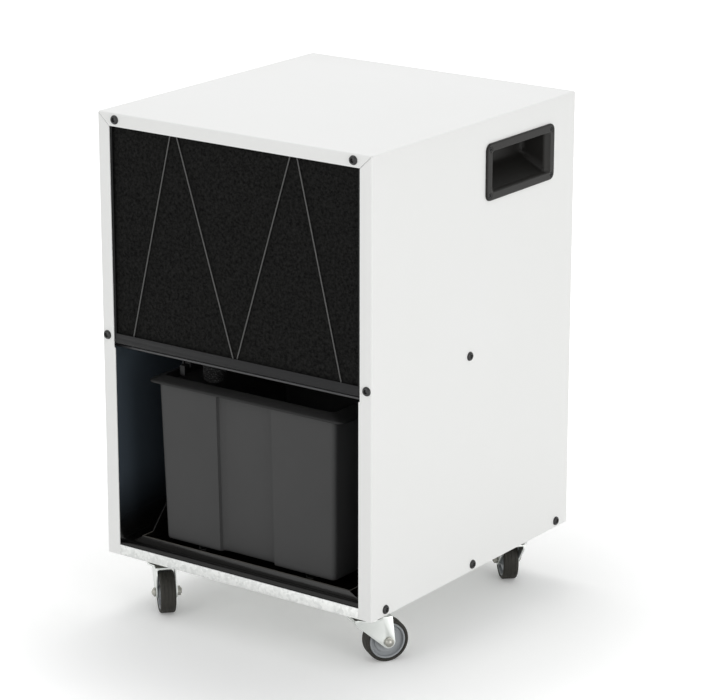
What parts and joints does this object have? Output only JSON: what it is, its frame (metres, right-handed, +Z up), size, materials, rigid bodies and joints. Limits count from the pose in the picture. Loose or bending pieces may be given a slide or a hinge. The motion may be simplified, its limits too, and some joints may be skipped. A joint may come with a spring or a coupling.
{
  "type": "dehumidifier",
  "caption": "Portable workshop dehumidifier: a tall sheet-steel box on swivel casters, with an open-front water tank bay below a filter mat, side hand cups and a rear air outlet.",
  "frame": {"origin": "on the floor under the middle of the housing", "axes": "+Z up, the filter and the water tank face -Y, the air outlet faces +Y, +X to the right of someone facing the front"},
  "size_m": [0.4572, 0.4852, 0.7125],
  "materials": {
    "white_paint": "satin powder coat",
    "black_plastic": "satin",
    "handle_plastic": "matte",
    "black_steel": "satin",
    "galvanised_steel": "spangled zinc coat",
    "zinc_plated_steel": "bright zinc plate",
    "wheel_plastic": "satin",
    "wheel_rubber": "matte",
    "liner_plastic": "gloss",
    "tank_plastic": "satin",
    "filter_fleece": "felted",
    "spring_wire": "satin",
    "soft_foam": "matte foam",
    "grey_plastic": "satin",
    "aluminium": "plain",
    "copper": "drawn tube",
    "red_plastic": "gloss",
    "lamp_lens": "clear"
  },
  "bodies": {
    "housing": {"outer_cover": "white_paint", "cover_screws": "black_plastic", "base_pan": "galvanised_steel", "caster_plates": "zinc_plated_steel", "caster_bolts": "zinc_plated_steel", "bay_liner": "liner_plastic", "tank_tray": "liner_plastic", "shelf": "galvanised_steel", "filter_rail": "black_plastic", "filter_frame": "black_plastic", "filter_mat": "filter_fleece", "filter_wire": "spring_wire", "drain_spout": "grey_plastic", "drain_sleeve": "soft_foam", "float_switch": "black_plastic", "drip_tray": "liner_plastic", "evaporator_fins": "aluminium", "condenser_fins": "aluminium", "coil_tubes": "copper", "fan_shroud": "galvanised_steel", "fan_motor": "aluminium", "capacitor": "aluminium", "compressor": "black_steel", "compressor_feet": "soft_foam", "compressor_bolts": "zinc_plated_steel", "suction_line": "copper", "discharge_line": "copper", "liquid_line": "copper", "handle_right": "handle_plastic", "handle_left": "handle_plastic", "handle_screws": "black_steel", "rear_panel": "white_paint", "outlet_grille": "black_steel", "control_panel": "black_plastic", "switch_frame": "black_plastic", "tank_lamp": "lamp_lens", "hour_counter": "black_plastic", "cable_gland": "black_plastic"},
    "swivel_front_right": {"fork_front_right": "zinc_plated_steel", "axle_front_right": "zinc_plated_steel"},
    "wheel_front_right": {"hub_front_right": "wheel_plastic", "tyre_front_right": "wheel_rubber"},
    "swivel_front_left": {"fork_front_left": "zinc_plated_steel", "axle_front_left": "zinc_plated_steel"},
    "wheel_front_left": {"hub_front_left": "wheel_plastic", "tyre_front_left": "wheel_rubber"},
    "swivel_rear_right": {"fork_rear_right": "zinc_plated_steel", "axle_rear_right": "zinc_plated_steel"},
    "wheel_rear_right": {"hub_rear_right": "wheel_plastic", "tyre_rear_right": "wheel_rubber"},
    "swivel_rear_left": {"fork_rear_left": "zinc_plated_steel", "axle_rear_left": "zinc_plated_steel"},
    "wheel_rear_left": {"hub_rear_left": "wheel_plastic", "tyre_rear_left": "wheel_rubber"},
    "tank": {"tank": "tank_plastic"},
    "fan_wheel": {"fan_wheel": "grey_plastic"},
    "float_lever": {"float_lever": "tank_plastic"},
    "humidity_knob": {"humidity_knob": "black_plastic"},
    "rocker": {"rocker": "red_plastic"}
  },
  "joints": [
    {"name": "swivel_front_right", "type": "hinge", "parent": "housing", "child": "swivel_front_right", "pos_m": [0.175, -0.18, 0.0865], "axis": [0, 0, 1], "continuous": true},
    {"name": "spin_front_right", "type": "hinge", "parent": "swivel_front_right", "child": "wheel_front_right", "pos_m": [0.18954, -0.15845, 0.03], "axis": [0.829, -0.5592, 0], "continuous": true},
    {"name": "swivel_front_left", "type": "hinge", "parent": "housing", "child": "swivel_front_left", "pos_m": [-0.175, -0.18, 0.0865], "axis": [0, 0, 1], "continuous": true},
    {"name": "spin_front_left", "type": "hinge", "parent": "swivel_front_left", "child": "wheel_front_left", "pos_m": [-0.15614, -0.1979, 0.03], "axis": [-0.6884, -0.7254, 0], "continuous": true},
    {"name": "swivel_rear_right", "type": "hinge", "parent": "housing", "child": "swivel_rear_right", "pos_m": [0.175, 0.172, 0.0865], "axis": [0, 0, 1], "continuous": true},
    {"name": "spin_rear_right", "type": "hinge", "parent": "swivel_rear_right", "child": "wheel_rear_right", "pos_m": [0.15662, 0.19038, 0.03], "axis": [0.7071, 0.7071, 0], "continuous": true},
    {"name": "swivel_rear_left", "type": "hinge", "parent": "housing", "child": "swivel_rear_left", "pos_m": [-0.175, 0.172, 0.0865], "axis": [0, 0, 1], "continuous": true},
    {"name": "spin_rear_left", "type": "hinge", "parent": "swivel_rear_left", "child": "wheel_rear_left", "pos_m": [-0.16279, 0.19496, 0.03], "axis": [0.8829, -0.4695, 0], "continuous": true},
    {"name": "tank_pull", "type": "slide", "parent": "housing", "child": "tank", "axis": [0, -1, 0], "range_m": [0, 0.32]},
    {"name": "fan_spin", "type": "hinge", "parent": "housing", "child": "fan_wheel", "pos_m": [0, -0.087, 0.531], "axis": [0, 1, 0], "continuous": true},
    {"name": "float_lever", "type": "hinge", "parent": "housing", "child": "float_lever", "pos_m": [-0.118, -0.187, 0.3668], "axis": [1, 0, 0], "range_deg": [-12, 0]},
    {"name": "humidity_knob", "type": "hinge", "parent": "housing", "child": "humidity_knob", "pos_m": [-0.144, 0.2206, 0.3265], "axis": [0, 1, 0], "range_deg": [-140, 140]},
    {"name": "rocker", "type": "hinge", "parent": "housing", "child": "rocker", "pos_m": [-0.092, 0.2176, 0.3265], "axis": [1, 0, 0], "range_deg": [0, 14]}
  ]
}
